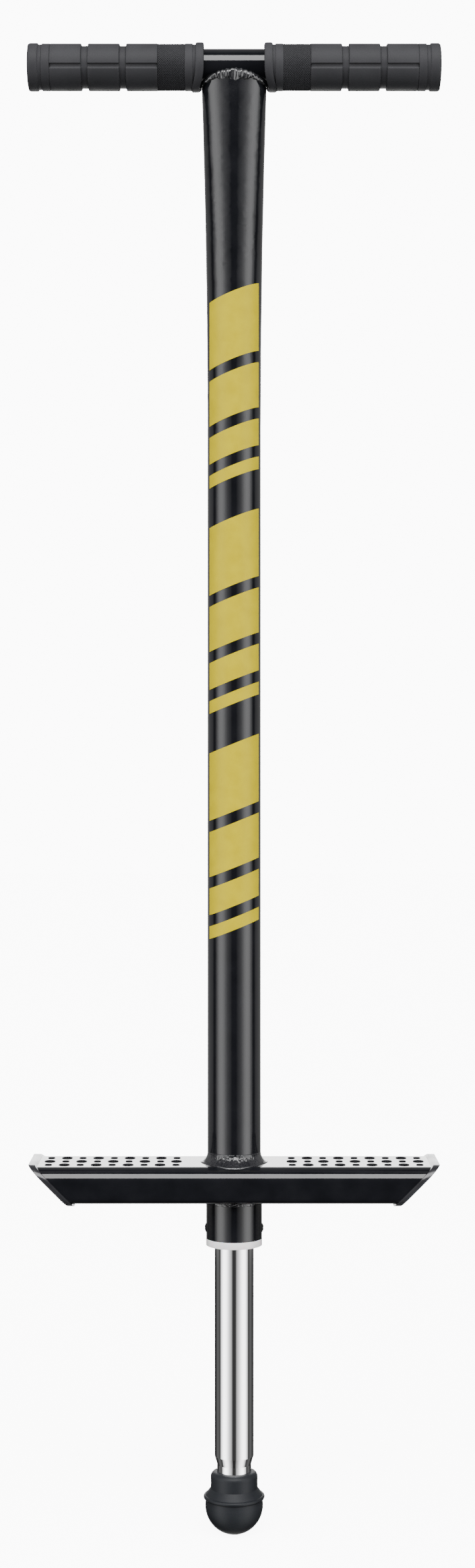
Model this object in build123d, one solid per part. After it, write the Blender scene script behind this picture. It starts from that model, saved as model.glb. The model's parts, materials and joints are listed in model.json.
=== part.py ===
from build123d import *
import math
import os

# A pogo stick standing upright, with its plunger out.
# Millimetres, +Z up, handlebar along X, front towards -Y.
# The origin is at the lowest point of the rubber foot, on the axis of the tubes.
# One steel tube carries the handlebar, the foot rest and the bush. The plunger slides in it on a long spring.

# Main tube: round, with its top squashed wide in X and thin in Y to meet the handlebar
TUBE_R = 19.05
TUBE_WALL = 1.5
TUBE_BOTTOM_Z = 252.0
OVAL_START_Z = 780.0
OVAL_GAIN = 4.6
OVAL_STATIONS = 8
TOP_ARCH_R = 42.5
TOP_ARCH_DROP = 6.5

# Handlebar and its weld
BAR_Z = 1047.0
BAR_R = 12.7
BAR_WALL = 1.6
BAR_HALF = 143.0
WELD_PROUD = 1.8
WELD_BELOW = 2.4
WELD_ABOVE = 2.0
WELD_DEPTH = 3.6

# Grips, from the inner flange outward
GRIP_START_X = 21.5
GRIP_BORE_R = 12.75
FLANGE_W = 5.8
FLANGE_R = 17.2
SLIT_W = 2.0
SLIT_R = 15.6
RING_W = 5.8
PANEL_R = 16.3
KNURL_W = 19.3
KNURL_R = 16.0
PANEL_W = 22.4
GROOVE_W = 4.8
GROOVE_R = 14.6
OUTER_PANEL_W = 28.2
END_SLIT_W = 2.6
END_CAP_W = 8.2
END_CAP_R = 16.6
END_DOME = 1.6
RELIEF_GAP = 0.4
RELIEF_DROP = 8.0
RELIEF_HALF_DEPTH = 9.5

# Decal on the front of the tube: groups of slanted blocks, each group fading out downward
DECAL_THICK = 0.15
DECAL_HALF_W = 17.5
DECAL_SLANT = 14.0
DECAL_TOP_Z = 884.0
DECAL_GROUPS = 3
DECAL_GROUP_PITCH = 160.0
DECAL_BLOCK_HEIGHTS = [48.0, 32.0, 19.0, 9.0]
DECAL_BLOCK_GAP = 8.0

# Foot rest: a rolled box section along X with slanted ends and a perforated top
REST_TOP_Z = 265.6
REST_H = 25.1
REST_DEPTH = 64.0
REST_WALL = 1.8
REST_TOP_CORNER_R = 9.3
REST_LOW_CORNER_R = 4.0
REST_HALF_TOP = 143.4
HOLE_COLUMNS = 9
HOLE_PITCH_X = 11.29
HOLE_PITCH_Y = 14.6
OUTER_HOLE_X = 131.5
BIG_HOLE_R = 3.2
SMALL_HOLE_R = 1.9
DISH_W = 1.0
DISH_DEPTH = 1.1

# End caps of the foot rest
CAP_PLATE = 1.4
CAP_PROUD = 1.6
CAP_BAND = 1.9
CAP_PLUG = 9.0
CAP_PLUG_WALL = 2.0
CAP_PLUG_GAP = 0.1

# Welds at the foot rest
TOP_WELD_W = 5.4
TOP_WELD_H = 7.0
LOW_WELD_W = 1.2
LOW_WELD_H = 4.0
WELD_WAIST = 0.42

# Lower sleeve, bush and screws
SLEEVE_R = 20.0
SLEEVE_WALL = 2.0
SLEEVE_BOTTOM_Z = 211.3
BUSH_FLANGE_H = 4.9
BUSH_BORE_R = 14.08
SCREW_Z = 218.5
SCREW_HEAD_R = 3.85
SCREW_HEAD_H = 1.1
SCREW_SHANK_R = 1.75
SCREW_TIP_X = 15.6

# Plunger tube, necked down at its lower end
PLUNGER_R = 14.0
PLUNGER_WALL = 2.0
PLUNGER_BOTTOM_Z = 21.0
NECK_R = 12.25
NECK_TOP_Z = 50.0
NECK_CONE_H = 6.0

# Rubber foot and the disc inside it
FOOT_BALL_R = 20.65
FOOT_BEAD_R = 21.85
FOOT_BEAD_Z = 26.7
FOOT_BEAD_H = 3.0
FOOT_CONE_Z = 32.9
FOOT_COLLAR_R = 16.75
FOOT_TOP_Z = 44.6
FOOT_LIP_R = 3.5
FOOT_SOLE = 18.0
FOOT_WASHER_H = 3.0

# Plunger head, its pin and the rings round it
STOP_GAP = 0.3
BUMPER_H = 10.0
BUMPER_OUTER_R = 17.0
BUMPER_INNER_R = 14.6
GUIDE_R = 17.48
GUIDE_H = 10.0
HEAD_FLANGE_R = 16.6
HEAD_FLANGE_H = 4.0
HEAD_SPIGOT_L = 30.0
HEAD_BOSS_R = 10.4
HEAD_BOSS_H = 16.0
HEAD_PIN_R = 2.5
HEAD_PIN_DROP = 20.0
HEAD_PIN_INSET = 0.6
SPRING_WASHER_H = 2.0

# Main spring and its upper seat
SPRING_MEAN_R = 13.75
SPRING_WIRE_R = 2.5
SPRING_TURNS = 42
SEAT_R = 17.4
SEAT_H = 8.0
SEAT_BOSS_H = 16.0
SEAT_GAP = 1.0

# Worked out from the sizes above
REST_BOTTOM_Z = REST_TOP_Z - REST_H
REST_MID_Z = REST_TOP_Z - REST_H / 2
BUMPER_TOP_Z = TUBE_BOTTOM_Z + BUMPER_H
GUIDE_BOTTOM_Z = BUMPER_TOP_Z + STOP_GAP
PLUNGER_TOP_Z = GUIDE_BOTTOM_Z + GUIDE_H
HEAD_TOP_Z = PLUNGER_TOP_Z + HEAD_FLANGE_H
SPRING_BOTTOM_Z = HEAD_TOP_Z + SPRING_WASHER_H
SEAT_TOP_Z = OVAL_START_Z - SEAT_GAP
SPRING_TOP_Z = SEAT_TOP_Z - SEAT_H
FAR = 1200.0


def rod(radius, low_z, high_z):
    """Upright cylinder on the tubes' axis."""
    return Pos(0, 0, low_z) * Cylinder(radius, high_z - low_z, align=(Align.CENTER, Align.CENTER, Align.MIN))


def ring(outer_r, inner_r, low_z, high_z):
    """Upright ring on the tubes' axis."""
    return rod(outer_r, low_z, high_z) - rod(inner_r, low_z - 1, high_z + 1)


def rod_along_x(radius, low_x, high_x, z):
    """Cylinder along X at y = 0."""
    return Pos((low_x + high_x) / 2, 0, z) * Rot(0, 90, 0) * Cylinder(radius, high_x - low_x)


def oval_half_width(z):
    """Half of the tube's width in X, which grows as a parabola up to the handlebar."""
    rise = max(0.0, z - OVAL_START_Z) / (BAR_Z - OVAL_START_Z)
    return TUBE_R + OVAL_GAIN * rise**2


def oval_half_depth(z):
    """Half of the tube's depth in Y, which shrinks so that the perimeter stays the same."""
    return math.sqrt(2 * TUBE_R**2 - oval_half_width(z) ** 2)


def oval_body(offset, low_z=TUBE_BOTTOM_Z):
    """Solid tube shape, moved out by offset, up to just above the handlebar's axis."""
    top_z = BAR_Z + 6
    step = (top_z - OVAL_START_Z) / (OVAL_STATIONS - 1)
    sections = []
    for index in range(OVAL_STATIONS):
        z = OVAL_START_Z + index * step
        section = Ellipse(oval_half_width(z) + offset, oval_half_depth(z) + offset)
        sections.append(Pos(0, 0, z) * section)
    upper = loft(sections)
    if low_z >= OVAL_START_Z:
        return upper
    return rod(TUBE_R + offset, low_z, OVAL_START_Z) + upper


def top_arch(offset):
    """Everything below the arch that the tube's coped end follows, moved up by offset."""
    centre_z = BAR_Z - TOP_ARCH_DROP - TOP_ARCH_R
    disc = Pos(0, 0, centre_z) * Rot(90, 0, 0) * Cylinder(TOP_ARCH_R + offset, FAR)
    below = Pos(0, 0, centre_z - FAR / 2) * Box(FAR, FAR, FAR)
    return disc + below


def make_main_tube():
    tube = oval_body(0) - oval_body(-TUBE_WALL, TUBE_BOTTOM_Z - 1)
    return (tube & top_arch(0)) - rod_along_x(BAR_R, -BAR_HALF, BAR_HALF, BAR_Z)


def make_handlebar():
    outer = rod_along_x(BAR_R, -BAR_HALF, BAR_HALF, BAR_Z)
    return outer - rod_along_x(BAR_R - BAR_WALL, -BAR_HALF - 1, BAR_HALF + 1, BAR_Z)


def make_handlebar_weld():
    """Bead that follows the arch and fills the gap between the tube's end and the bar."""
    upper = OVAL_START_Z
    band = oval_body(WELD_PROUD, upper) - oval_body(-WELD_DEPTH, upper)
    bead = (band & top_arch(WELD_ABOVE)) - top_arch(-WELD_BELOW)
    return bead - make_main_tube() - rod_along_x(BAR_R, -BAR_HALF, BAR_HALF, BAR_Z)


def grip_steps():
    """Width and radius of each step of a grip, from its inner flange to its end cap."""
    steps = [(FLANGE_W, FLANGE_R), (SLIT_W, SLIT_R), (RING_W, PANEL_R), (KNURL_W, KNURL_R)]
    steps += [(PANEL_W, PANEL_R), (GROOVE_W, GROOVE_R)] * 2
    steps += [(OUTER_PANEL_W, PANEL_R), (END_SLIT_W, SLIT_R), (END_CAP_W, END_CAP_R)]
    return steps


def tube_relief():
    """Space that the flange leaves for the squashed end of the tube and its weld."""
    half_width = oval_half_width(BAR_Z) + WELD_PROUD + RELIEF_GAP
    top_z = BAR_Z - RELIEF_DROP
    return Pos(0, 0, top_z - BAR_R) * Box(2 * half_width, 2 * RELIEF_HALF_DEPTH, 2 * BAR_R)


def dome_arc(rim_x, rim_r, height):
    """Arc in the XY plane from a dome's rim to its crown on the X axis, part of a sphere."""
    sphere_r = (rim_r**2 + height**2) / (2 * height)
    centre_x = rim_x + height - sphere_r
    half_angle = math.asin(rim_r / sphere_r) / 2
    middle = (centre_x + sphere_r * math.cos(half_angle), sphere_r * math.sin(half_angle))
    return ThreePointArc((rim_x, rim_r), middle, (rim_x + height, 0.0))


def make_grip(side):
    """Grip on the side's end of the bar; side is 1 for right and -1 for left."""
    x = GRIP_START_X
    outline = [(x, 0.0)]
    for width, radius in grip_steps():
        outline += [(x, radius), (x + width, radius)]
        x += width
    outline[-1] = (x - END_DOME, END_CAP_R)
    edge = Polyline(*outline)
    dome = dome_arc(x - END_DOME, END_CAP_R, END_DOME)
    profile = make_face([*edge.edges(), dome, Line((x, 0.0), outline[0])])
    body = Pos(0, 0, BAR_Z) * revolve(profile, Axis.X)
    body -= rod_along_x(GRIP_BORE_R, 0, BAR_HALF + GRIP_BORE_R - BAR_R, BAR_Z)
    body -= tube_relief()
    return body if side > 0 else mirror(body, Plane.YZ)


def slanted_block(top_z, height):
    """Parallelogram in the XZ plane with upright sides and slanted ends."""
    half_rise = DECAL_SLANT / 2
    corners = [
        (-DECAL_HALF_W, top_z - half_rise),
        (DECAL_HALF_W, top_z + half_rise),
        (DECAL_HALF_W, top_z + half_rise - height),
        (-DECAL_HALF_W, top_z - half_rise - height),
    ]
    return make_face(Polyline(*corners, close=True))


def make_tube_decal():
    """Vinyl film on the front of the tube: the same group of blocks again and again."""
    film = oval_body(DECAL_THICK, REST_TOP_Z) - oval_body(0, REST_TOP_Z - 1)
    front = Plane(origin=(0, 0, 0), x_dir=(1, 0, 0), z_dir=(0, -1, 0))
    pieces = []
    for group in range(DECAL_GROUPS):
        top_z = DECAL_TOP_Z - group * DECAL_GROUP_PITCH
        for height in DECAL_BLOCK_HEIGHTS:
            block = extrude(front * slanted_block(top_z, height), amount=TUBE_R * 2)
            pieces += (film & block).solids()
            top_z -= height + DECAL_BLOCK_GAP
    return Compound(children=pieces)


def rest_section(offset):
    """Rounded section of the foot rest in the YZ plane, moved out by offset."""
    section = Rectangle(REST_DEPTH + 2 * offset, REST_H + 2 * offset)
    top_corners = section.vertices().sort_by(Axis.Y)[-2:]
    section = fillet(top_corners, REST_TOP_CORNER_R + offset)
    low_corners = section.vertices().group_by(Axis.Y)[0]
    section = fillet(low_corners, REST_LOW_CORNER_R + offset)
    return Plane(origin=(0, 0, REST_MID_Z), x_dir=(0, 1, 0), z_dir=(1, 0, 0)) * section


def rest_bar(offset):
    """Long solid bar with the foot rest's section."""
    return extrude(rest_section(offset), amount=FAR / 2, both=True)


def between_slants(inset):
    """Prism between the two 45 degree end planes, moved inward by inset along their normals."""
    half_at_top = REST_HALF_TOP - inset * math.sqrt(2)
    margin = 20.0
    corners = [
        (half_at_top + margin, REST_TOP_Z + margin),
        (half_at_top - REST_H - margin, REST_BOTTOM_Z - margin),
        (-half_at_top + REST_H + margin, REST_BOTTOM_Z - margin),
        (-half_at_top - margin, REST_TOP_Z + margin),
    ]
    return extrude(Plane.XZ * make_face(Polyline(*corners, close=True)), amount=FAR / 2, both=True)


def hole_places():
    """Centre and radius of each hole in the foot rest's top: big and small ones take turns."""
    places = []
    for side in (-1, 1):
        for column in range(HOLE_COLUMNS):
            x = side * (OUTER_HOLE_X - column * HOLE_PITCH_X)
            for row in (-1, 0, 1):
                radius = BIG_HOLE_R if (column + row) % 2 == 0 else SMALL_HOLE_R
                places.append((x, row * HOLE_PITCH_Y, radius))
    return places


def make_footrest_channel():
    """Box section with dished holes in its top and the tubes' openings in both flats."""
    body = (rest_bar(0) - rest_bar(-REST_WALL)) & between_slants(CAP_PLATE)
    holes = []
    for x, y, radius in hole_places():
        holes.append(Pos(x, y, REST_TOP_Z) * Cylinder(radius, 3 * REST_WALL))
        holes.append(Pos(x, y, REST_TOP_Z - DISH_DEPTH / 2) * Cone(radius, radius + DISH_W, DISH_DEPTH))
    body = body - holes
    body -= rod(TUBE_R, REST_MID_Z, REST_TOP_Z + 1)
    return body - rod(SLEEVE_R, REST_BOTTOM_Z - 1, REST_MID_Z)


def make_end_cap(side):
    """Slanted plate with a band round the outside of the section and a hollow plug inside it."""
    plate = rest_bar(CAP_PROUD) & between_slants(0) - between_slants(CAP_PLATE)
    band_zone = between_slants(CAP_PLATE) - between_slants(CAP_PLATE + CAP_BAND)
    band = (rest_bar(CAP_PROUD) - rest_bar(0)) & band_zone
    plug_outer = REST_WALL + CAP_PLUG_GAP
    plug_zone = between_slants(CAP_PLATE) - between_slants(CAP_PLATE + CAP_PLUG)
    plug = (rest_bar(-plug_outer) - rest_bar(-plug_outer - CAP_PLUG_WALL)) & plug_zone
    both_ends = plate + band + plug
    half = Pos(side * FAR / 2, 0, REST_MID_Z) * Box(FAR, FAR, FAR)
    return both_ends & half


def fillet_ring(inner_r, width, base_z, height):
    """Weld ring with a hollow outside, standing on base_z; a negative height hangs below it."""
    foot = (inner_r + width, base_z)
    top = (inner_r, base_z + height)
    waist = (inner_r + width * WELD_WAIST, base_z + height * WELD_WAIST)
    outline = [Line((inner_r, base_z), foot), ThreePointArc(foot, waist, top), Line(top, (inner_r, base_z))]
    return revolve(Plane.XZ * make_face(outline), Axis.Z)


def make_lower_sleeve():
    sleeve = ring(SLEEVE_R, SLEEVE_R - SLEEVE_WALL, SLEEVE_BOTTOM_Z, TUBE_BOTTOM_Z)
    for side in (-1, 1):
        sleeve -= rod_along_x(SCREW_SHANK_R, *sorted((0, side * FAR)), SCREW_Z)
    return sleeve


def make_lower_bush():
    """Flanged nylon bush that fills the sleeve and guides the plunger."""
    body = rod(SLEEVE_R - SLEEVE_WALL, SLEEVE_BOTTOM_Z, TUBE_BOTTOM_Z)
    body += rod(SLEEVE_R, SLEEVE_BOTTOM_Z - BUSH_FLANGE_H, SLEEVE_BOTTOM_Z)
    body -= rod(BUSH_BORE_R, 0, TUBE_BOTTOM_Z + 1)
    for side in (-1, 1):
        body -= rod_along_x(SCREW_SHANK_R, *sorted((side * SCREW_TIP_X, side * FAR)), SCREW_Z)
    return body


def make_bush_screw(side):
    """Round-headed screw into the bush through the side of the sleeve, with a cross recess."""
    seat_x = math.sqrt(SLEEVE_R**2 - SCREW_HEAD_R**2)
    crown_x = SLEEVE_R + SCREW_HEAD_H
    outline = [
        Line((seat_x, 0), (seat_x, SCREW_HEAD_R)),
        dome_arc(seat_x, SCREW_HEAD_R, crown_x - seat_x),
        Line((crown_x, 0), (seat_x, 0)),
    ]
    head = Pos(0, 0, SCREW_Z) * revolve(make_face(outline), Axis.X)
    head -= rod(SLEEVE_R, SCREW_Z - FAR, SCREW_Z + FAR)
    recess = Pos(crown_x, 0, SCREW_Z) * (Box(1.4, 3.6, 0.8) + Box(1.4, 0.8, 3.6))
    screw = head - recess
    screw += rod_along_x(SCREW_SHANK_R, SCREW_TIP_X, crown_x - 1.0, SCREW_Z)
    return screw if side > 0 else mirror(screw, Plane.YZ)


def make_plunger_tube():
    """Chrome tube with a cone down to the neck that the rubber foot grips."""
    cone_top_z = NECK_TOP_Z + NECK_CONE_H
    outline = [
        (NECK_R - PLUNGER_WALL, PLUNGER_BOTTOM_Z),
        (NECK_R, PLUNGER_BOTTOM_Z),
        (NECK_R, NECK_TOP_Z),
        (PLUNGER_R, cone_top_z),
        (PLUNGER_R, PLUNGER_TOP_Z),
        (PLUNGER_R - PLUNGER_WALL, PLUNGER_TOP_Z),
        (PLUNGER_R - PLUNGER_WALL, cone_top_z),
        (NECK_R - PLUNGER_WALL, NECK_TOP_Z),
    ]
    tube = revolve(Plane.XZ * make_face(Polyline(*outline, close=True)), Axis.Z)
    return tube - head_pin_rod(PLUNGER_R + 1)


def head_pin_rod(half):
    """Cylinder of the pin's size along X, reaching half to each side."""
    return rod_along_x(HEAD_PIN_R, -half, half, PLUNGER_TOP_Z - HEAD_PIN_DROP)


def make_head_pin():
    pin = head_pin_rod(PLUNGER_R - HEAD_PIN_INSET)
    return chamfer(pin.edges().filter_by(GeomType.CIRCLE), 0.4)


def make_plunger_head():
    """Steel plug with a spigot in the tube, a flange on its end and a boss that centres the spring."""
    spigot_r = PLUNGER_R - PLUNGER_WALL
    body = rod(spigot_r, PLUNGER_TOP_Z - HEAD_SPIGOT_L, PLUNGER_TOP_Z)
    body += rod(HEAD_FLANGE_R, PLUNGER_TOP_Z, HEAD_TOP_Z)
    boss = rod(HEAD_BOSS_R, HEAD_TOP_Z, HEAD_TOP_Z + HEAD_BOSS_H)
    body += chamfer(boss.edges().sort_by(Axis.Z)[-1], 2.0)
    return body - head_pin_rod(PLUNGER_R + 1)


def make_guide_ring():
    return ring(GUIDE_R, PLUNGER_R, GUIDE_BOTTOM_Z, PLUNGER_TOP_Z)


def make_spring():
    """Compression spring whose end turns are ground flat."""
    length = SPRING_TOP_Z - SPRING_BOTTOM_Z
    pitch = length / SPRING_TURNS
    path = Pos(0, 0, SPRING_BOTTOM_Z) * Helix(pitch, length, SPRING_MEAN_R)
    start = path @ 0
    section = Plane(origin=start, z_dir=path % 0) * Circle(SPRING_WIRE_R)
    wire = sweep(section, path=path)
    return wire & rod(TUBE_R, SPRING_BOTTOM_Z, SPRING_TOP_Z)


def make_upper_spring_seat():
    """Steel disc that bears up against the start of the squashed part, with a boss in the spring."""
    body = rod(SEAT_R, SPRING_TOP_Z, SEAT_TOP_Z)
    boss = rod(HEAD_BOSS_R, SPRING_TOP_Z - SEAT_BOSS_H, SPRING_TOP_Z)
    return body + chamfer(boss.edges().sort_by(Axis.Z)[0], 2.0)


def make_rubber_foot():
    """Solid of revolution: hemisphere, crease, bead, cone and a collar with a rounded lip."""
    bead_low = FOOT_BEAD_Z - FOOT_BEAD_H / 2
    bead_high = FOOT_BEAD_Z + FOOT_BEAD_H / 2
    neck = FOOT_BEAD_R - FOOT_BEAD_H / 2
    diagonal = FOOT_BALL_R * math.sin(math.pi / 4)
    ball_end = (0, 0)
    ball_mid = (diagonal, FOOT_BALL_R - diagonal)
    ball_side = (FOOT_BALL_R, FOOT_BALL_R)
    collar_top = (FOOT_COLLAR_R, FOOT_TOP_Z - FOOT_LIP_R)
    lip_end = (FOOT_COLLAR_R - FOOT_LIP_R, FOOT_TOP_Z)
    lip_mid = (FOOT_COLLAR_R - FOOT_LIP_R * (1 - math.sqrt(0.5)), FOOT_TOP_Z - FOOT_LIP_R * (1 - math.sqrt(0.5)))
    outline = [
        ThreePointArc(ball_end, ball_mid, ball_side),
        Line(ball_side, (neck, bead_low)),
        ThreePointArc((neck, bead_low), (FOOT_BEAD_R, FOOT_BEAD_Z), (neck, bead_high)),
        Line((neck, bead_high), (FOOT_COLLAR_R, FOOT_CONE_Z)),
        Line((FOOT_COLLAR_R, FOOT_CONE_Z), collar_top),
        ThreePointArc(collar_top, lip_mid, lip_end),
        Line(lip_end, (0, FOOT_TOP_Z)),
        Line((0, FOOT_TOP_Z), ball_end),
    ]
    body = revolve(Plane.XZ * make_face(outline), Axis.Z)
    return body - rod(NECK_R, FOOT_SOLE, FOOT_TOP_Z + 1)


def make_parts():
    """Every node's name and its solid, from the top down."""
    return {
        "main_tube": make_main_tube(),
        "handlebar": make_handlebar(),
        "handlebar_weld": make_handlebar_weld(),
        "grip_left": make_grip(-1),
        "grip_right": make_grip(1),
        "tube_decal": make_tube_decal(),
        "footrest_channel": make_footrest_channel(),
        "footrest_end_cap_left": make_end_cap(-1),
        "footrest_end_cap_right": make_end_cap(1),
        "footrest_top_weld": fillet_ring(TUBE_R, TOP_WELD_W, REST_TOP_Z, TOP_WELD_H),
        "footrest_bottom_weld": fillet_ring(SLEEVE_R, LOW_WELD_W, REST_BOTTOM_Z, -LOW_WELD_H),
        "lower_sleeve": make_lower_sleeve(),
        "lower_bush": make_lower_bush(),
        "bush_screw_left": make_bush_screw(-1),
        "bush_screw_right": make_bush_screw(1),
        "rebound_bumper": ring(BUMPER_OUTER_R, BUMPER_INNER_R, TUBE_BOTTOM_Z, BUMPER_TOP_Z),
        "upper_spring_seat": make_upper_spring_seat(),
        "main_spring": make_spring(),
        "spring_washer": ring(HEAD_FLANGE_R, HEAD_BOSS_R, HEAD_TOP_Z, SPRING_BOTTOM_Z),
        "plunger_head": make_plunger_head(),
        "head_pin": make_head_pin(),
        "guide_ring": make_guide_ring(),
        "plunger_tube": make_plunger_tube(),
        "foot_washer": rod(NECK_R - 0.25, FOOT_SOLE, FOOT_SOLE + FOOT_WASHER_H),
        "rubber_foot": make_rubber_foot(),
    }


os.makedirs("parts", exist_ok=True)
for name, solid in make_parts().items():
    export_step(solid, f"parts/{name}.step")
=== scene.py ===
import json
import math

import bmesh
import bpy
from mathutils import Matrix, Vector, noise


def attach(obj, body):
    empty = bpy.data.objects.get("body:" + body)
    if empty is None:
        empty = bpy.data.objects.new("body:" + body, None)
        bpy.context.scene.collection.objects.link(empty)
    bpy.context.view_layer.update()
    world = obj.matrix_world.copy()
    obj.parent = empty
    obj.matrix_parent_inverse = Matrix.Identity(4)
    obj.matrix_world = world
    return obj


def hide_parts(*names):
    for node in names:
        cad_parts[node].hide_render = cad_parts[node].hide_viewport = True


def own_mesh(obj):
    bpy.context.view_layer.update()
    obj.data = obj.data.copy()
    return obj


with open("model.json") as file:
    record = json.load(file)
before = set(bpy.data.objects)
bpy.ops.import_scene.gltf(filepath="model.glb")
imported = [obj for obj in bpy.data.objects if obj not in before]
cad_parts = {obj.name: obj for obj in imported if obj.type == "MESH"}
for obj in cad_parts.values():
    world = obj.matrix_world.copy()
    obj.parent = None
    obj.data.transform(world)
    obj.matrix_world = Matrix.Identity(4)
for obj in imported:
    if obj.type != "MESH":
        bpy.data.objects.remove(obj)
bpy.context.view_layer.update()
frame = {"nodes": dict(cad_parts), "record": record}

# A pogo stick. Metres, in the CAD frame: +Z up, handlebar along X, front towards -Y.
NODES = frame["nodes"]

# Camera and studio
EYE = Vector((0.0024, -1.6178, 0.5352))
LENS = 52.0
SENSOR = 36.0
CAMERA_WHITE = 11.0
FLOOR_GLOW = 8.5
PANEL_PEAK = 6.0
PANEL_STOPS = [
    (0, 0.05), (9, 0.05), (15, 0.55), (22, 0.95), (30, 1.60), (38, 2.90), (46, 4.60), (56, 5.50), (66, 5.00),
    (72, 3.80), (78, 2.00), (84, 1.10), (89, 0.10), (100, 0.08), (104, 0.13), (124, 0.13), (128, 0.04),
    (180, 0.04),
]
PANEL_RISE = [(-60, 0.3), (-35, 1.0), (40, 1.0), (60, 0.2)]
TOP_BOX_LEVEL = 13.0
TOP_BOX_SIDE = [(0, 1), (34, 1), (38, 0)]
TOP_BOX_RISE = [(27, 0), (29, 1), (63, 1), (66, 0)]
EDGE_LEVEL = 0.45
EDGE_SIDE = [(97, 0), (106, 1), (140, 1), (160, 0.5), (180, 0.4)]
EDGE_RISE = [(-12, 0), (-8, 1), (30, 1), (60, 0)]
BACK_LEVEL = 6.5
BACK_SIDE = [(161, 0), (169, 1)]
BACK_RISE = [(-50, 0.2), (-25, 0.9), (18, 1), (28, 0.06), (75, 0.04)]
FLOOR_HALF = 12.0

# Handlebar, grips and top weld, as in the CAD model
BAR_Z = 1.047
BAR_R = 0.0127
GRIP_START = 0.0215
FLANGE_W = 0.0058
FLANGE_R = 0.0172
FLANGE_PUSH = 0.0032
SLIT_W = 0.0020
SLIT_R = 0.0156
RING_W = 0.0058
PANEL_R = 0.0163
KNURL_W = 0.0193
KNURL_R = 0.0153
KNURL_PEAK = 0.0010
KNURL_TEETH = 12
PANEL_W = 0.0224
GROOVE_W = 0.0048
GROOVE_R = 0.0146
OUTER_PANEL_W = 0.0282
END_SLIT_W = 0.0026
END_CAP_W = 0.0082
END_CAP_R = 0.0166
END_DOME = 0.0016
DOME_RINGS = (0.95, 0.82, 0.6, 0.35, 0.1)
GRIP_SIDES = 240
BORE_GAP = 0.0001
BORE_DEPTH = 0.006
CHANNEL_ANGLE = math.radians(12.5)
CHANNEL_HALF = math.radians(6.5)
CHANNEL_DEPTH = 0.0011

# Squashed top of the tube, as in the CAD model
TUBE_R = 0.01905
OVAL_START_Z = 0.780
OVAL_GAIN = 0.0046
ARCH_R = 0.0425
ARCH_DROP = 0.0065

# Weld beads
WELD_STEPS = 360
BEAD_SIDES = 20
BEAD_LUMPS = 0.28
BEAD_R = 0.0015
BEAD_FRONT_R = 0.0009
BEAD_RIPPLE = 0.12
BEAD_HANG = 0.0038
BEAD_INSET = 0.985
BEAD_FRONT_INSET = 0.05
BEAD_SINK = 0.0004
SKIRT_ROWS = 12
SKIRT_FLARE = 2.8
SKIRT_ROUGH = 0.0002
SKIRT_FRONT_ROUGH = 0.0010
SKIRT_SINK = 0.0003
SKIRT_LIFT = 0.0001
SKIRT_INNER_SINK = 0.0004
TOP_SKIRT_W = 0.0054
TOP_SKIRT_H = 0.0078
TOP_SKIRT_FRONT = 0.0040
LOW_SKIRT_W = 0.0012
LOW_SKIRT_H = -0.0042

# Foot rest, its holes and the sleeve under it, as in the CAD model
REST_TOP_Z = 0.2656
REST_BOTTOM_Z = 0.2405
REST_FLAT_HALF = 0.0227
REST_EDGE_R = 0.0093
SLEEVE_R = 0.020
HOLE_COLUMNS = 9
HOLE_PITCH_X = 0.01129
HOLE_PITCH_Y = 0.0146
OUTER_HOLE_X = 0.1315

# Rims pressed up round the holes
BIG_RIM_R = 0.0037
SMALL_RIM_R = 0.0024
RIM_RISE = 0.00045
RIM_SINK = 0.0001
RIM_SLOPE = 0.0008
RIM_LIP = 0.0006
RIM_HOLE_DEPTH = 0.0010
RIM_SIDES = 40

# Main spring, as in the CAD model
SPRING_LOW_Z = 0.2783
SPRING_HIGH_Z = 0.771
SPRING_MEAN_R = 0.01375
SPRING_WIRE_R = 0.0025
SPRING_TURNS = 42
SPRING_TURN_STEPS = 24
SPRING_WIRE_SIDES = 10


# ---------------------------------------------------------------- node helpers

def new_material(name):
    """Empty node material; returns it with its tree and its Principled shader."""
    material = bpy.data.materials.new(name)
    material.use_nodes = True
    tree = material.node_tree
    return material, tree, tree.nodes["Principled BSDF"]


def add_node(tree, kind, **settings):
    node = tree.nodes.new(kind)
    for key, value in settings.items():
        setattr(node, key, value)
    return node


def noise_node(tree, scale, detail=4.0, stretch=(1, 1, 1)):
    """Noise in object space; stretch scales the coordinates before it."""
    coords = add_node(tree, "ShaderNodeTexCoord")
    mapping = add_node(tree, "ShaderNodeMapping")
    mapping.inputs["Scale"].default_value = stretch
    texture = add_node(tree, "ShaderNodeTexNoise")
    texture.inputs["Scale"].default_value = scale
    texture.inputs["Detail"].default_value = detail
    tree.links.new(coords.outputs["Object"], mapping.inputs["Vector"])
    tree.links.new(mapping.outputs["Vector"], texture.inputs["Vector"])
    return texture


def ramp_between(tree, source, low, high, start=0.3, end=0.7):
    """Colour ramp from low to high, driven by a node's factor."""
    ramp = add_node(tree, "ShaderNodeValToRGB")
    ramp.color_ramp.elements[0].position = start
    ramp.color_ramp.elements[1].position = end
    ramp.color_ramp.elements[0].color = (*low, 1)
    ramp.color_ramp.elements[1].color = (*high, 1)
    tree.links.new(source, ramp.inputs["Fac"])
    return ramp.outputs["Color"]


def range_between(tree, source, low, high):
    """Maps a 0..1 factor to a range of values."""
    mapper = add_node(tree, "ShaderNodeMapRange")
    mapper.inputs["From Min"].default_value = 0.3
    mapper.inputs["From Max"].default_value = 0.7
    mapper.inputs["To Min"].default_value = low
    mapper.inputs["To Max"].default_value = high
    tree.links.new(source, mapper.inputs["Value"])
    return mapper.outputs["Result"]


def add_bump(tree, shader, source, strength, distance):
    bump = add_node(tree, "ShaderNodeBump")
    bump.inputs["Strength"].default_value = strength
    bump.inputs["Distance"].default_value = distance
    tree.links.new(source, bump.inputs["Height"])
    tree.links.new(bump.outputs["Normal"], shader.inputs["Normal"])


# ---------------------------------------------------------------- materials

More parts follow.
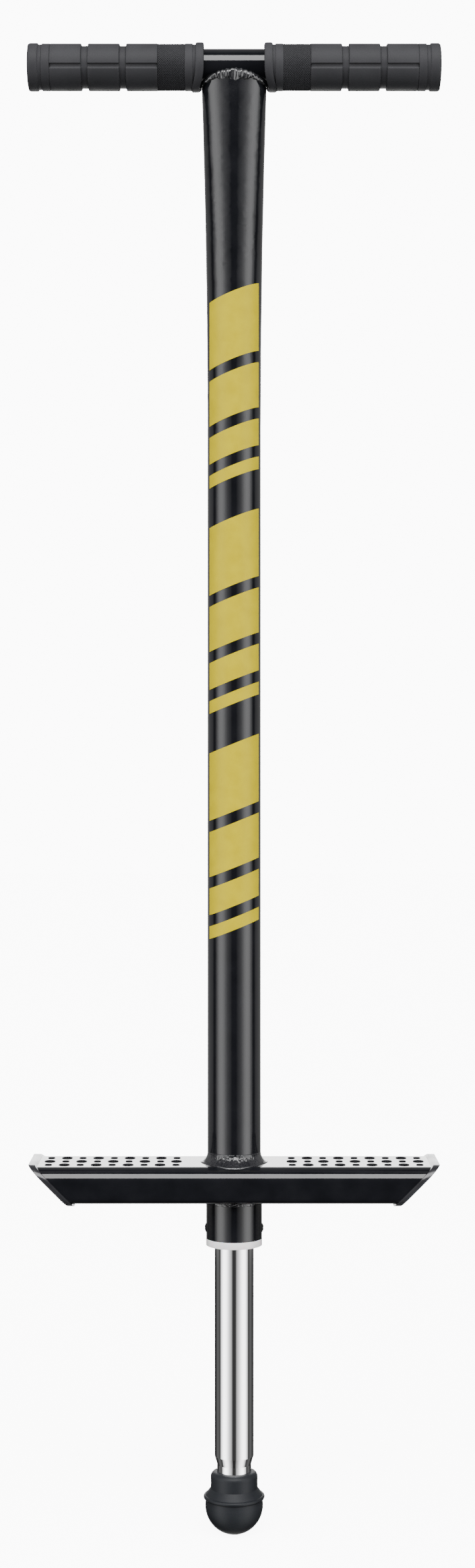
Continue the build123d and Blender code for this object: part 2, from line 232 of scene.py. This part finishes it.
def black_paint():
    """Gloss black powder coat: faint orange peel and a little dust in the colour."""
    material, tree, shader = new_material("black_paint")
    peel = noise_node(tree, 420.0, 2.0)
    dust = noise_node(tree, 60.0, 6.0)
    colour = ramp_between(tree, dust.outputs["Fac"], (0.0034, 0.0036, 0.0046), (0.0056, 0.0058, 0.0072))
    tree.links.new(colour, shader.inputs["Base Color"])
    tree.links.new(range_between(tree, dust.outputs["Fac"], 0.06, 0.10), shader.inputs["Roughness"])
    shader.inputs["IOR"].default_value = 1.42
    add_bump(tree, shader, peel.outputs["Fac"], 0.05, 0.0004)
    return material


def painted_weld():
    """The same paint over a rippled bead."""
    material, tree, shader = new_material("painted_weld")
    grain = noise_node(tree, 900.0, 5.0)
    colour = ramp_between(tree, grain.outputs["Fac"], (0.004, 0.004, 0.005), (0.016, 0.016, 0.018))
    tree.links.new(colour, shader.inputs["Base Color"])
    tree.links.new(range_between(tree, grain.outputs["Fac"], 0.05, 0.18), shader.inputs["Roughness"])
    shader.inputs["IOR"].default_value = 1.52
    add_bump(tree, shader, grain.outputs["Fac"], 0.35, 0.0004)
    return material


def moulded_rubber(name, low, high, roughness, grain_scale, specular):
    """Satin rubber with a fine moulded grain and a slight bloom."""
    material, tree, shader = new_material(name)
    bloom = noise_node(tree, 45.0, 5.0)
    grain = noise_node(tree, grain_scale, 3.0)
    tree.links.new(ramp_between(tree, bloom.outputs["Fac"], low, high), shader.inputs["Base Color"])
    rough = range_between(tree, bloom.outputs["Fac"], roughness - 0.05, roughness + 0.05)
    tree.links.new(rough, shader.inputs["Roughness"])
    shader.inputs["Specular IOR Level"].default_value = specular
    add_bump(tree, shader, grain.outputs["Fac"], 0.25, 0.0002)
    return material


def yellow_vinyl():
    """Printed film with a soft gloss and a barely uneven ink layer."""
    material, tree, shader = new_material("yellow_vinyl")
    ink = noise_node(tree, 110.0, 4.0)
    colour = ramp_between(tree, ink.outputs["Fac"], (0.31, 0.245, 0.0), (0.35, 0.28, 0.0))
    tree.links.new(colour, shader.inputs["Base Color"])
    tree.links.new(range_between(tree, ink.outputs["Fac"], 0.34, 0.44), shader.inputs["Roughness"])
    shader.inputs["Specular IOR Level"].default_value = 0.1
    add_bump(tree, shader, ink.outputs["Fac"], 0.04, 0.0002)
    return material


def natural_nylon():
    """Milky nylon, slightly grey, with faint turning lines."""
    material, tree, shader = new_material("natural_nylon")
    cloud = noise_node(tree, 80.0, 4.0)
    lines = noise_node(tree, 60.0, 2.0, (0.05, 0.05, 40.0))
    colour = ramp_between(tree, cloud.outputs["Fac"], (0.60, 0.58, 0.585), (0.72, 0.70, 0.70))
    tree.links.new(colour, shader.inputs["Base Color"])
    tree.links.new(range_between(tree, lines.outputs["Fac"], 0.40, 0.55), shader.inputs["Roughness"])
    shader.inputs["Subsurface Weight"].default_value = 0.25
    shader.inputs["Subsurface Scale"].default_value = 0.002
    add_bump(tree, shader, lines.outputs["Fac"], 0.10, 0.0002)
    return material


def chrome_plate():
    """Bright chrome with faint lengthwise polish marks."""
    material, tree, shader = new_material("chrome_plate")
    polish = noise_node(tree, 260.0, 3.0, (1.0, 1.0, 0.03))
    colour = ramp_between(tree, polish.outputs["Fac"], (0.86, 0.86, 0.87), (0.90, 0.90, 0.905))
    tree.links.new(colour, shader.inputs["Base Color"])
    tree.links.new(range_between(tree, polish.outputs["Fac"], 0.045, 0.075), shader.inputs["Roughness"])
    shader.inputs["Metallic"].default_value = 1.0
    add_bump(tree, shader, polish.outputs["Fac"], 0.01, 0.0001)
    return material


def worked_steel(name, low, high, roughness):
    """Bare or plated steel with a brushed, slightly stained surface."""
    material, tree, shader = new_material(name)
    stain = noise_node(tree, 90.0, 6.0)
    brush = noise_node(tree, 300.0, 3.0, (1.0, 1.0, 0.08))
    tree.links.new(ramp_between(tree, stain.outputs["Fac"], low, high), shader.inputs["Base Color"])
    rough = range_between(tree, brush.outputs["Fac"], roughness - 0.08, roughness + 0.08)
    tree.links.new(rough, shader.inputs["Roughness"])
    shader.inputs["Metallic"].default_value = 1.0
    add_bump(tree, shader, brush.outputs["Fac"], 0.10, 0.0002)
    return material


def make_materials():
    """One material for each slot name in the record."""
    grip_colours = (0.018, 0.018, 0.0200), (0.024, 0.024, 0.0265)
    foot_colours = (0.006, 0.0068, 0.0085), (0.010, 0.011, 0.0130)
    cap_colours = (0.010, 0.010, 0.0115), (0.016, 0.016, 0.018)
    return {
        "black_paint": black_paint(),
        "weld": painted_weld(),
        "grip_rubber": moulded_rubber("grip_rubber", *grip_colours, 0.62, 1500.0, 0.12),
        "foot_rubber": moulded_rubber("foot_rubber", *foot_colours, 0.50, 1100.0, 0.14),
        "yellow_vinyl": yellow_vinyl(),
        "cap_plastic": moulded_rubber("cap_plastic", *cap_colours, 0.24, 700.0, 0.45),
        "white_nylon": natural_nylon(),
        "chrome": chrome_plate(),
        "black_screw": worked_steel("black_screw", (0.02, 0.02, 0.022), (0.05, 0.05, 0.055), 0.38),
        "zinc_steel": worked_steel("zinc_steel", (0.48, 0.48, 0.46), (0.62, 0.61, 0.58), 0.34),
        "spring_steel": worked_steel("spring_steel", (0.16, 0.17, 0.19), (0.28, 0.28, 0.30), 0.36),
    }


def paint_nodes(materials):
    """Gives every CAD node the material of its slot in the record."""
    for subpart in frame["record"]["subparts"]:
        node = NODES[subpart["node"]]
        material = materials[subpart["material_slot"]]
        for slot in node.material_slots:
            slot.link = "OBJECT"
            slot.material = material


# ---------------------------------------------------------------- mesh helpers

def mesh_object(name, verts, faces, material):
    mesh = bpy.data.meshes.new(name)
    mesh.from_pydata(verts, [], faces)
    mesh.validate()
    piece = bpy.data.objects.new(name, mesh)
    bpy.context.scene.collection.objects.link(piece)
    mesh.materials.append(material)
    work = bmesh.new()
    work.from_mesh(mesh)
    bmesh.ops.recalc_face_normals(work, faces=work.faces)
    work.to_mesh(mesh)
    work.free()
    return piece


def grid_faces(rows, columns, closed_rows=False):
    """Quads of a grid whose columns, and if asked rows, wrap round."""
    faces = []
    for row in range(rows if closed_rows else rows - 1):
        next_row = (row + 1) % rows
        for column in range(columns):
            next_column = (column + 1) % columns
            faces.append((
                row * columns + column,
                row * columns + next_column,
                next_row * columns + next_column,
                next_row * columns + column,
            ))
    return faces


def shade(piece, angle=40.0):
    """Smooth shading that keeps edges sharper than angle degrees."""
    piece.data.shade_smooth()
    piece.data.set_sharp_from_angle(angle=math.radians(angle))


def softened(node, name, material, width):
    """Copy of a CAD node with its sharp edges rounded off, which stands for the node."""
    mesh = bpy.data.meshes.new(name)
    work = bmesh.new()
    work.from_mesh(NODES[node].data)
    bmesh.ops.remove_doubles(work, verts=work.verts, dist=1e-6)
    bmesh.ops.dissolve_limit(work, angle_limit=math.radians(1), verts=work.verts, edges=work.edges)
    sharp = [edge for edge in work.edges if edge.is_manifold and edge.calc_face_angle() > math.radians(30)]
    bmesh.ops.bevel(
        work, geom=sharp, offset=width, segments=2, profile=0.5, affect="EDGES", clamp_overlap=True
    )
    work.to_mesh(mesh)
    work.free()
    mesh.materials.clear()
    mesh.materials.append(material)
    piece = bpy.data.objects.new(name, mesh)
    bpy.context.scene.collection.objects.link(piece)
    shade(piece, 35)
    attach(piece, "frame")
    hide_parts(node)


# ---------------------------------------------------------------- grips

def rounded_step(start, width, radius, edge=0.0006):
    """Profile points of one raised step with its two edges rounded."""
    soft = edge * 0.3
    return [
        (start, radius - edge),
        (start + soft, radius - soft),
        (start + edge, radius),
        (start + width - edge, radius),
        (start + width - soft, radius - soft),
        (start + width, radius - edge),
    ]


def panel_rows(start, width):
    """Rows of a panel: its rounded edges and a few rows where its lengthwise channels run."""
    rows = rounded_step(start, width, PANEL_R)
    middle = [(start + width * part, PANEL_R) for part in (0.12, 0.5, 0.88)]
    return rows[:3] + middle + rows[3:]


def groove_rows(start, width, radius):
    return [(start + 0.0003, radius), (start + width - 0.0003, radius)]


def knurl_rows(start):
    """Rows of the knurled band, four to each tooth."""
    steps = KNURL_TEETH * 4
    return [(start + KNURL_W * index / steps, KNURL_R) for index in range(steps + 1)]


def grip_profile():
    """(distance from the grip's inner end, radius, kind) of every ring of vertices."""
    rows = []

    def add(points, kind):
        rows.extend((x, radius, kind) for x, radius in points)

    x = 0.0
    add([(x, BAR_R + 0.0002), (x, FLANGE_R - 0.0014), (x + 0.0004, FLANGE_R - 0.0004)], "flange")
    add([(x + 0.0014, FLANGE_R), (x + FLANGE_W - 0.0008, FLANGE_R)], "flange")
    x += FLANGE_W
    add([(x, FLANGE_R - 0.0005)], "flange")
    add(groove_rows(x, SLIT_W, SLIT_R), "plain")
    x += SLIT_W
    add(rounded_step(x, RING_W, PANEL_R), "plain")
    x += RING_W
    add(knurl_rows(x), "knurl")
    x += KNURL_W
    for _ in range(2):
        add(panel_rows(x, PANEL_W), "panel")
        x += PANEL_W
        add(groove_rows(x, GROOVE_W, GROOVE_R), "plain")
        x += GROOVE_W
    ring = OUTER_PANEL_W - PANEL_W
    add(panel_rows(x, PANEL_W), "panel")
    x += PANEL_W
    add(rounded_step(x, ring, PANEL_R, 0.0003), "plain")
    x += ring
    add(groove_rows(x, END_SLIT_W, SLIT_R), "plain")
    x += END_SLIT_W
    add(rounded_step(x, END_CAP_W - END_DOME, END_CAP_R, 0.0008)[:5], "plain")
    x += END_CAP_W - END_DOME
    for part in DOME_RINGS:
        height = END_DOME * math.sqrt(1 - (part * 0.98) ** 2)
        add([(x + height, END_CAP_R * part)], "plain")
    return rows


def channel_dip(angle):
    """Depth of the lengthwise channels in a panel at an angle round the grip."""
    quarter = math.pi / 2
    off = (angle - CHANNEL_ANGLE + quarter / 2) % quarter - quarter / 2
    share = abs(off) / CHANNEL_HALF
    if share >= 1:
        return 0.0
    return CHANNEL_DEPTH * (1 - max(0.0, share - 0.55) / 0.45)


def knurl_height(row, column):
    """Diamond knurl: little pyramids between two sets of crossing diagonal grooves."""
    ridge = (0.0, 0.5, 1.0, 0.5)
    return KNURL_PEAK * min(ridge[(row + column) % 4], ridge[(row - column) % 4])


def make_grip(side, material):
    """Detailed grip: flange pushed out by the tube, knurled band, channelled panels and a domed end."""
    rows = grip_profile()
    verts = []
    knurl_start = next(index for index, row in enumerate(rows) if row[2] == "knurl")
    for index, (distance, radius, kind) in enumerate(rows):
        for column in range(GRIP_SIDES):
            angle = 2 * math.pi * column / GRIP_SIDES
            local = radius
            push = 0.0
            if kind == "panel":
                local -= channel_dip(angle)
            elif kind == "knurl":
                local += knurl_height(index - knurl_start, column)
            elif kind == "flange":
                below = max(0.0, math.sin(angle))
                push = FLANGE_PUSH * below**3
            x = GRIP_START + distance + push
            y = -local * math.cos(angle)
            z = BAR_Z - local * math.sin(angle)
            verts.append((side * x, y, z))
    faces = grid_faces(len(rows), GRIP_SIDES)
    last = (len(rows) - 1) * GRIP_SIDES
    faces.append(tuple(range(last, last + GRIP_SIDES)))
    bore_outer = len(verts)
    for column in range(GRIP_SIDES):
        angle = 2 * math.pi * column / GRIP_SIDES
        y = -(BAR_R + BORE_GAP) * math.cos(angle)
        z = BAR_Z - (BAR_R + BORE_GAP) * math.sin(angle)
        verts.append((side * (GRIP_START + BORE_DEPTH), y, z))
    for column in range(GRIP_SIDES):
        following = (column + 1) % GRIP_SIDES
        faces.append((column, following, bore_outer + following, bore_outer + column))
    faces.append(tuple(range(bore_outer, bore_outer + GRIP_SIDES)))
    name = "grip_detail_right" if side > 0 else "grip_detail_left"
    grip = mesh_object(name, verts, faces, material)
    shade(grip, 35)
    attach(grip, "frame")
    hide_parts("grip_right" if side > 0 else "grip_left")


# ---------------------------------------------------------------- welds

def oval_half_width(z):
    rise = max(0.0, z - OVAL_START_Z) / (BAR_Z - OVAL_START_Z)
    return TUBE_R + OVAL_GAIN * rise**2


def oval_half_depth(z):
    return math.sqrt(2 * TUBE_R**2 - oval_half_width(z) ** 2)


def bead_mesh(name, path, normals, radii, hangs, material, seed):
    """Weld bead along a closed path: a round section that hangs down in places, with lumps from noise."""
    count = len(path)
    verts = []
    for index in range(count):
        tangent = (path[(index + 1) % count] - path[index - 1]).normalized()
        out = normals[index].normalized()
        up = tangent.cross(out).normalized()
        for side in range(BEAD_SIDES):
            turn = 2 * math.pi * side / BEAD_SIDES
            direction = out * math.cos(turn) + up * math.sin(turn)
            point = path[index] + direction * radii[index]
            lump = noise.noise(point * 420.0 + Vector((seed, 0, 0)))
            fine = noise.noise(point * 1500.0 + Vector((0, seed, 0)))
            swell = 1 + BEAD_LUMPS * lump + BEAD_LUMPS * 0.35 * fine
            hang = Vector((0, 0, -hangs[index] * max(0.0, -direction.z) * swell))
            verts.append(path[index] + direction * radii[index] * swell + hang)
    bead = mesh_object(name, verts, grid_faces(count, BEAD_SIDES, closed_rows=True), material)
    bead.data.shade_smooth()
    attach(bead, "frame")
    return bead


def make_top_weld(material):
    """Bead along the arch where the squashed tube meets the bar."""
    centre_z = BAR_Z - ARCH_DROP - ARCH_R
    path, normals, radii, hangs = [], [], [], []
    for index in range(WELD_STEPS):
        angle = 2 * math.pi * index / WELD_STEPS
        z = BAR_Z - ARCH_DROP
        for _ in range(4):
            x = oval_half_width(z) * math.cos(angle)
            z = centre_z + math.sqrt(ARCH_R**2 - x**2)
        y = oval_half_depth(z) * math.sin(angle)
        front = abs(math.sin(angle))
        inward = 1 - BEAD_FRONT_INSET * front
        path.append(Vector((x * BEAD_INSET, y * inward, z - BEAD_SINK)))
        normals.append(Vector((math.cos(angle), math.sin(angle) * 1.5, 0.25)))
        ripple = 1 + BEAD_RIPPLE * front**4 * math.sin(index * math.pi / 4)
        radii.append((BEAD_R + BEAD_FRONT_R * front**3) * ripple)
        hangs.append(BEAD_HANG * front**8)
    weld = bead_mesh("top_weld_bead", path, normals, radii, hangs, material, seed=3.1)
    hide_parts("handlebar_weld")


def make_ring_weld(name, node, radius, z, width, height, front_extra, material, seed):
    """Weld fillet round a tube on a flat face: an uneven skirt with a rippled toe."""
    sign = 1 if height > 0 else -1
    verts = []
    for row in range(SKIRT_ROWS):
        part = row / (SKIRT_ROWS - 1)
        for column in range(WELD_STEPS):
            angle = 2 * math.pi * column / WELD_STEPS
            front = max(0.0, -math.sin(angle)) ** 6
            reach = width + front_extra * front
            flare = (1 - part) ** SKIRT_FLARE
            spot = Vector((math.cos(angle), math.sin(angle), part * 0.6))
            ripple = noise.noise(spot * 9.0 + Vector((seed, 0, 0)))
            fine = noise.noise(spot * 34.0 + Vector((0, seed, 0)))
            rough = SKIRT_ROUGH + SKIRT_FRONT_ROUGH * front
            r = radius + reach * flare + rough * (0.6 * ripple + 0.6 * fine) * math.sin(math.pi * part) * 1.5
            drop = 0.0
            over_edge = max(0.0, r * -math.sin(angle) - REST_FLAT_HALF)
            if sign > 0 and over_edge > 0:
                drop = REST_EDGE_R - math.sqrt(max(0.0, REST_EDGE_R**2 - over_edge**2))
            low = z - sign * SKIRT_SINK - drop * (1 - part)
            verts.append((r * math.cos(angle), r * math.sin(angle), low + height * part + sign * SKIRT_LIFT))
    for part in (1.0, 0.0):
        for column in range(WELD_STEPS):
            angle = 2 * math.pi * column / WELD_STEPS
            r = radius - SKIRT_SINK
            level = z - sign * SKIRT_INNER_SINK + height * part
            verts.append((r * math.cos(angle), r * math.sin(angle), level))
    faces = grid_faces(SKIRT_ROWS + 2, WELD_STEPS, closed_rows=True)
    weld = mesh_object(name, verts, faces, material)
    weld.data.shade_smooth()
    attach(weld, "frame")
    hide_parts(node)


# ---------------------------------------------------------------- rims of the foot rest's holes

def rim_outline(crest_r):
    """(radius, height above the foot rest) round one rim: outer slope, crest, inner slope, into the hole."""
    return [
        (crest_r + RIM_RISE + RIM_SINK, -RIM_SINK),
        (crest_r, RIM_RISE),
        (crest_r - RIM_SLOPE, RIM_RISE - RIM_SLOPE),
        (crest_r - RIM_LIP, -RIM_HOLE_DEPTH),
    ]


def make_hole_rims(material):
    """The pressed-up rim round each hole; big and small ones take turns as the holes do."""
    verts = []
    faces = []
    for side in (-1, 1):
        for column in range(HOLE_COLUMNS):
            x = side * (OUTER_HOLE_X - column * HOLE_PITCH_X)
            for row in (-1, 0, 1):
                outline = rim_outline(BIG_RIM_R if (column + row) % 2 == 0 else SMALL_RIM_R)
                first = len(verts)
                for radius, height in outline:
                    for step in range(RIM_SIDES):
                        angle = 2 * math.pi * step / RIM_SIDES
                        y = row * HOLE_PITCH_Y + radius * math.sin(angle)
                        verts.append((x + radius * math.cos(angle), y, REST_TOP_Z + height))
                ring = grid_faces(len(outline), RIM_SIDES, closed_rows=True)
                faces += [tuple(first + corner for corner in face) for face in ring]
    rims = mesh_object("footrest_hole_rims", verts, faces, material)
    shade(rims, 40)
    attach(rims, "frame")


# ---------------------------------------------------------------- spring

def make_spring(material):
    """Coil of round wire, evenly wound from its lower seat to its upper seat."""
    count = SPRING_TURNS * SPRING_TURN_STEPS + 1
    low = SPRING_LOW_Z + SPRING_WIRE_R
    high = SPRING_HIGH_Z - SPRING_WIRE_R
    verts = []
    for index in range(count):
        angle = 2 * math.pi * index / SPRING_TURN_STEPS
        z = low + (high - low) * index / (count - 1)
        for side in range(SPRING_WIRE_SIDES):
            turn = 2 * math.pi * side / SPRING_WIRE_SIDES
            reach = SPRING_MEAN_R + SPRING_WIRE_R * math.cos(turn)
            height = z + SPRING_WIRE_R * math.sin(turn)
            verts.append((reach * math.cos(angle), reach * math.sin(angle), height))
    faces = grid_faces(count, SPRING_WIRE_SIDES)
    faces.append(tuple(range(SPRING_WIRE_SIDES)))
    faces.append(tuple(range(len(verts) - SPRING_WIRE_SIDES, len(verts))))
    coil = mesh_object("spring_coil", verts, faces, material)
    shade(coil, 50)
    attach(coil, "frame")
    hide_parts("main_spring")
    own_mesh(coil)


# ---------------------------------------------------------------- camera, lights and floor

def make_camera():
    camera = bpy.data.cameras.new("photo_camera")
    camera.lens = LENS
    camera.sensor_width = SENSOR
    camera.clip_end = 50.0
    holder = bpy.data.objects.new("photo_camera", camera)
    holder.location = EYE
    holder.rotation_euler = (math.radians(90), 0, 0)
    bpy.context.scene.collection.objects.link(holder)
    bpy.context.scene.camera = holder


def sky_ramp(tree, source, stops):
    """Linear ramp of grey levels over a 0..1 source; stops are (position, level)."""
    ramp = add_node(tree, "ShaderNodeValToRGB")
    elements = ramp.color_ramp.elements
    while len(elements) < len(stops):
        elements.new(0.5)
    for element, (position, level) in zip(elements, stops):
        element.position = position
        element.color = (level, level, level, 1)
    tree.links.new(source, ramp.inputs["Fac"])
    return ramp.outputs["Color"]


def sky_math(tree, operation, first, second=None):
    """One maths node; each input is a socket or a number."""
    node = add_node(tree, "ShaderNodeMath", operation=operation)
    for index, value in enumerate((first, second)):
        if value is None:
            continue
        if isinstance(value, (int, float)):
            node.inputs[index].default_value = value
        else:
            tree.links.new(value, node.inputs[index])
    return node.outputs[0]


def make_world():
    """Studio seen by reflections and soft light: side panels, a top box, dim edges and a wall behind."""
    world = bpy.data.worlds.new("studio")
    world.use_nodes = True
    tree = world.node_tree
    background = tree.nodes["Background"]
    coords = add_node(tree, "ShaderNodeTexCoord")
    split = add_node(tree, "ShaderNodeSeparateXYZ")
    tree.links.new(coords.outputs["Generated"], split.inputs[0])
    toward = sky_math(tree, "MULTIPLY", split.outputs["Y"], -1.0)
    turn = sky_math(tree, "ARCTAN2", split.outputs["X"], toward)
    side = sky_math(tree, "DIVIDE", sky_math(tree, "ABSOLUTE", turn), math.pi)
    height = sky_math(tree, "ARCSINE", split.outputs["Z"])
    rise = sky_math(tree, "ADD", sky_math(tree, "DIVIDE", height, math.pi), 0.5)
    panels = [(at, level / PANEL_PEAK) for at, level in PANEL_STOPS]
    total = 0.0
    for sides, rises, level in (
        (panels, PANEL_RISE, PANEL_PEAK),
        (TOP_BOX_SIDE, TOP_BOX_RISE, TOP_BOX_LEVEL),
        (EDGE_SIDE, EDGE_RISE, EDGE_LEVEL),
        (BACK_SIDE, BACK_RISE, BACK_LEVEL),
    ):
        across = sky_ramp(tree, side, [(at / 180, share) for at, share in sides])
        up = sky_ramp(tree, rise, [((90 + at) / 180, share) for at, share in rises])
        part = sky_math(tree, "MULTIPLY", sky_math(tree, "MULTIPLY", across, up), level)
        total = sky_math(tree, "ADD", part, total)
    path = add_node(tree, "ShaderNodeLightPath")
    not_camera = sky_math(tree, "SUBTRACT", 1.0, path.outputs["Is Camera Ray"])
    studio = sky_math(tree, "MULTIPLY", total, not_camera)
    plain = sky_math(tree, "MULTIPLY", path.outputs["Is Camera Ray"], CAMERA_WHITE)
    tree.links.new(sky_math(tree, "ADD", studio, plain), background.inputs["Strength"])
    background.inputs["Color"].default_value = (1, 1, 1, 1)
    bpy.context.scene.world = world


def make_floor():
    """Plain pale floor at the height of the foot's tip."""
    corners = [(x * FLOOR_HALF, y * FLOOR_HALF, 0) for x, y in ((-1, -1), (1, -1), (1, 1), (-1, 1))]
    mesh = bpy.data.meshes.new("floor")
    mesh.from_pydata(corners, [], [(0, 1, 2, 3)])
    floor = bpy.data.objects.new("floor", mesh)
    bpy.context.scene.collection.objects.link(floor)
    material, tree, shader = new_material("floor")
    speckle = noise_node(tree, 3.0, 3.0)
    colour = ramp_between(tree, speckle.outputs["Fac"], (0.86, 0.86, 0.86), (0.88, 0.88, 0.88))
    tree.links.new(colour, shader.inputs["Base Color"])
    shader.inputs["Roughness"].default_value = 0.9
    shader.inputs["Emission Color"].default_value = (1, 1, 1, 1)
    shader.inputs["Emission Strength"].default_value = FLOOR_GLOW
    material.cycles.emission_sampling = "NONE"
    mesh.materials.append(material)
    floor.visible_diffuse = False
    floor.visible_glossy = False


# ---------------------------------------------------------------- build

make_camera()
make_world()
make_floor()

materials = make_materials()
paint_nodes(materials)
for grip_side in (-1, 1):
    make_grip(grip_side, materials["grip_rubber"])
make_top_weld(materials["weld"])
make_ring_weld(
    "rest_top_bead", "footrest_top_weld", TUBE_R, REST_TOP_Z,
    TOP_SKIRT_W, TOP_SKIRT_H, TOP_SKIRT_FRONT, materials["weld"], 5.3,
)
make_ring_weld(
    "rest_bottom_bead", "footrest_bottom_weld", SLEEVE_R, REST_BOTTOM_Z,
    LOW_SKIRT_W, LOW_SKIRT_H, 0.0, materials["weld"], 8.9,
)
make_hole_rims(materials["black_paint"])
make_spring(materials["spring_steel"])
for cap_side in ("left", "right"):
    cap_node = f"footrest_end_cap_{cap_side}"
    softened(cap_node, f"end_cap_{cap_side}", materials["cap_plastic"], 0.0005)
softened("lower_bush", "bush_rounded", materials["white_nylon"], 0.0007)
